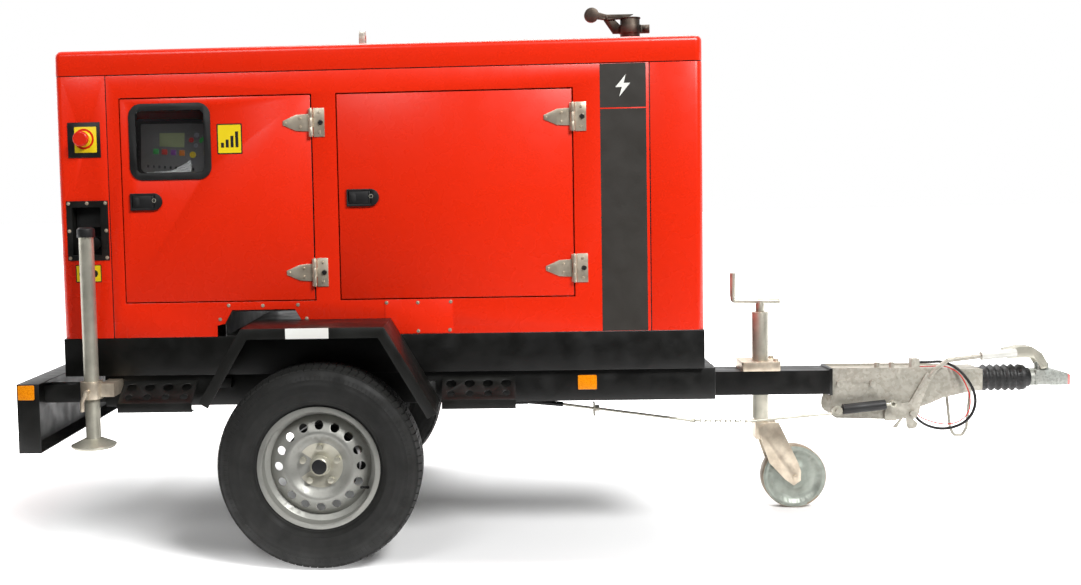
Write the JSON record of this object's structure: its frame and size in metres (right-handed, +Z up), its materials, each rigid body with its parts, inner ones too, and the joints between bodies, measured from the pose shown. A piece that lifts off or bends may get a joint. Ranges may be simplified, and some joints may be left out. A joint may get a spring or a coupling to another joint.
{
  "type": "towable diesel generator",
  "caption": "Single-axle braked trailer with soundproof canopy generator, hinged doors, prop legs, jockey wheel and overrun ball coupling.",
  "frame": {"origin": "on the ground, half way between the rear lamps and the tip of the coupling, on the centre plane", "axes": "+X towing direction, +Y left side, +Z up"},
  "size_m": [3.59, 1.484, 1.803],
  "materials": {
    "chassis_black": "semi-gloss black chassis enamel",
    "canopy_red": "gloss orange-red polyester powder coat",
    "black_steel": "black powder-coated sheet steel",
    "zinc": "bright zinc plated steel",
    "galvanised": "hot-dip galvanised steel",
    "rim_silver": "silver wheel lacquer",
    "tyre_rubber": "carbon-black tread rubber",
    "rubber": "moulded black rubber",
    "black_plastic": "moulded glass-filled nylon",
    "pane": "clear acrylic",
    "stop_red": "moulded red plastic",
    "engine_paint": "enamelled cast iron",
    "alternator_paint": "enamelled cast iron",
    "radiator_black": "black painted aluminium core",
    "exhaust_steel": "heat-dulled steel",
    "tank_plastic": "rotomoulded polyethylene",
    "battery_case": "moulded polypropylene",
    "cable_black": "black PVC sheath",
    "cable_red": "red plastic-coated wire",
    "cast_head": "galvanised cast steel"
  },
  "bodies": {
    "trailer": {"chassis_frame": "chassis_black", "drawbar": "chassis_black", "base_frame": "chassis_black", "fuel_tank": "tank_plastic", "roof_cap": "canopy_red", "rear_shroud": "canopy_red", "front_shroud": "canopy_red", "side_frame_left": "canopy_red", "side_frame_right": "canopy_red", "hinge_leaves": "zinc", "cable_outlet": "black_steel", "control_panel": "black_steel", "engine": "engine_paint", "alternator": "alternator_paint", "radiator": "radiator_black", "exhaust_system": "exhaust_steel", "lifting_frame": "galvanised", "battery": "battery_case", "axle_beam": "galvanised", "mudguards": "black_steel", "access_steps": "black_steel", "light_board": "black_steel", "tube_clamps": "zinc", "overrun_housing": "galvanised", "brake_rod": "zinc", "hitch_cable": "cable_black", "breakaway_cable": "cable_red", "bellows": "rubber"},
    "rear_right_door": {"door_rear_right": "canopy_red", "hinge_straps_rear_right": "zinc", "door_window": "pane"},
    "rear_right_latch": {"latch_handle_rear_right": "black_plastic"},
    "rear_left_door": {"door_rear_left": "canopy_red", "hinge_straps_rear_left": "zinc"},
    "rear_left_latch": {"latch_handle_rear_left": "black_plastic"},
    "front_right_door": {"door_front_right": "canopy_red", "hinge_straps_front_right": "zinc"},
    "front_right_latch": {"latch_handle_front_right": "black_plastic"},
    "front_left_door": {"door_front_left": "canopy_red", "hinge_straps_front_left": "zinc"},
    "front_left_latch": {"latch_handle_front_left": "black_plastic"},
    "wheel_right": {"rim_right": "rim_silver", "tyre_right": "tyre_rubber"},
    "leg_right": {"prop_leg_right": "zinc"},
    "wheel_left": {"rim_left": "rim_silver", "tyre_left": "tyre_rubber"},
    "leg_left": {"prop_leg_left": "zinc"},
    "stop_button": {"emergency_stop_button": "stop_red"},
    "exhaust_flap": {"rain_cap": "exhaust_steel"},
    "fan": {"cooling_fan": "black_plastic"},
    "jockey_stand": {"jockey_outer_tube": "zinc"},
    "jockey_handle": {"jockey_crank": "zinc"},
    "jockey_leg": {"jockey_inner_tube": "zinc"},
    "jockey_caster": {"jockey_fork": "zinc"},
    "jockey_roller": {"jockey_wheel": "zinc"},
    "coupling": {"coupling_head": "cast_head"},
    "coupling_grip": {"coupling_handle": "cast_head"},
    "handbrake": {"handbrake_lever": "galvanised"},
    "spring_cylinder": {"gas_spring": "black_steel"},
    "spring_rod": {"gas_spring_rod": "zinc"}
  },
  "joints": [
    {"name": "rear_right_door_hinge", "type": "hinge", "parent": "trailer", "child": "rear_right_door", "pos_m": [-0.855, -0.496, 1.17], "axis": [0, 0, 1], "range_deg": [0, 110]},
    {"name": "rear_right_latch_pull", "type": "hinge", "parent": "rear_right_door", "child": "rear_right_latch", "pos_m": [-1.387, -0.4923, 1.169], "axis": [0, 0, 1], "range_deg": [0, 40], "stiffness_Nm_per_rad": 0.4},
    {"name": "rear_left_door_hinge", "type": "hinge", "parent": "trailer", "child": "rear_left_door", "pos_m": [-0.855, 0.496, 1.17], "axis": [0, 0, -1], "range_deg": [0, 110]},
    {"name": "rear_left_latch_pull", "type": "hinge", "parent": "rear_left_door", "child": "rear_left_latch", "pos_m": [-1.387, 0.4923, 1.169], "axis": [0, 0, -1], "range_deg": [0, 40], "stiffness_Nm_per_rad": 0.4},
    {"name": "front_right_door_hinge", "type": "hinge", "parent": "trailer", "child": "front_right_door", "pos_m": [-0.004, -0.496, 1.17], "axis": [0, 0, 1], "range_deg": [0, 110]},
    {"name": "front_right_latch_pull", "type": "hinge", "parent": "front_right_door", "child": "front_right_latch", "pos_m": [-0.669, -0.4923, 1.169], "axis": [0, 0, 1], "range_deg": [0, 40], "stiffness_Nm_per_rad": 0.4},
    {"name": "front_left_door_hinge", "type": "hinge", "parent": "trailer", "child": "front_left_door", "pos_m": [-0.004, 0.496, 1.17], "axis": [0, 0, -1], "range_deg": [0, 110]},
    {"name": "front_left_latch_pull", "type": "hinge", "parent": "front_left_door", "child": "front_left_latch", "pos_m": [-0.669, 0.4923, 1.169], "axis": [0, 0, -1], "range_deg": [0, 40], "stiffness_Nm_per_rad": 0.4},
    {"name": "wheel_right_spin", "type": "hinge", "parent": "trailer", "child": "wheel_right", "pos_m": [-0.827, -0.647, 0.325], "axis": [0, 1, 0], "continuous": true},
    {"name": "leg_right_drop", "type": "slide", "parent": "trailer", "child": "leg_right", "axis": [0, 0, -1], "range_m": [0, 0.36]},
    {"name": "wheel_left_spin", "type": "hinge", "parent": "trailer", "child": "wheel_left", "pos_m": [-0.827, 0.647, 0.325], "axis": [0, 1, 0], "continuous": true},
    {"name": "leg_left_drop", "type": "slide", "parent": "trailer", "child": "leg_left", "axis": [0, 0, -1], "range_m": [0, 0.36]},
    {"name": "stop_button_press", "type": "slide", "parent": "trailer", "child": "stop_button", "axis": [0, 1, 0], "range_m": [0, 0.006]},
    {"name": "exhaust_flap_lift", "type": "hinge", "parent": "trailer", "child": "exhaust_flap", "pos_m": [0.135, -0.2, 1.767], "axis": [0, -1, 0], "range_deg": [0, 60]},
    {"name": "fan_spin", "type": "hinge", "parent": "trailer", "child": "fan", "pos_m": [-0.12, 0, 1.18], "axis": [1, 0, 0], "continuous": true},
    {"name": "jockey_stand_lift", "type": "slide", "parent": "trailer", "child": "jockey_stand", "axis": [0, 0, 1], "range_m": [0, 0.07]},
    {"name": "jockey_crank_turn", "type": "hinge", "parent": "jockey_stand", "child": "jockey_handle", "pos_m": [0.697, 0, 0.73], "axis": [0, 0, 1], "range_deg": [0, 10920]},
    {"name": "jockey_leg_extend", "type": "slide", "parent": "jockey_stand", "child": "jockey_leg", "axis": [0, 0, -1], "range_m": [0, 0.181]},
    {"name": "jockey_swivel", "type": "hinge", "parent": "jockey_leg", "child": "jockey_caster", "pos_m": [0.697, 0, 0.3], "axis": [0, 0, 1], "continuous": true},
    {"name": "jockey_wheel_spin", "type": "hinge", "parent": "jockey_caster", "child": "jockey_roller", "pos_m": [0.814, 0, 0.115], "axis": [0, 1, 0], "continuous": true},
    {"name": "overrun_slide", "type": "slide", "parent": "trailer", "child": "coupling", "axis": [-1, 0, 0], "range_m": [0, 0.1], "deforming": ["bellows"]},
    {"name": "coupling_handle_lift", "type": "hinge", "parent": "coupling", "child": "coupling_grip", "pos_m": [1.702, 0, 0.508], "axis": [0, 1, 0], "range_deg": [0, 40]},
    {"name": "handbrake_pull", "type": "hinge", "parent": "trailer", "child": "handbrake", "pos_m": [1.22, -0.067, 0.354], "axis": [0, -1, 0], "range_deg": [0, 70]},
    {"name": "gas_spring_swing", "type": "hinge", "parent": "trailer", "child": "spring_cylinder", "pos_m": [0.946, -0.09, 0.371], "axis": [0, 1, 0], "range_deg": [0, 25]},
    {"name": "gas_spring_extend", "type": "slide", "parent": "spring_cylinder", "child": "spring_rod", "axis": [0.9946, 0, 0.1039], "range_m": [0, 0.0235]}
  ],
  "couplings": [
    {"joint": "jockey_crank_turn", "follows": "jockey_leg_extend", "rad_per_m": 1047.2},
    {"joint": "gas_spring_swing", "follows": "handbrake_pull", "ratio": 0.354},
    {"joint": "gas_spring_extend", "follows": "handbrake_pull", "m_per_rad": 0.01899}
  ]
}
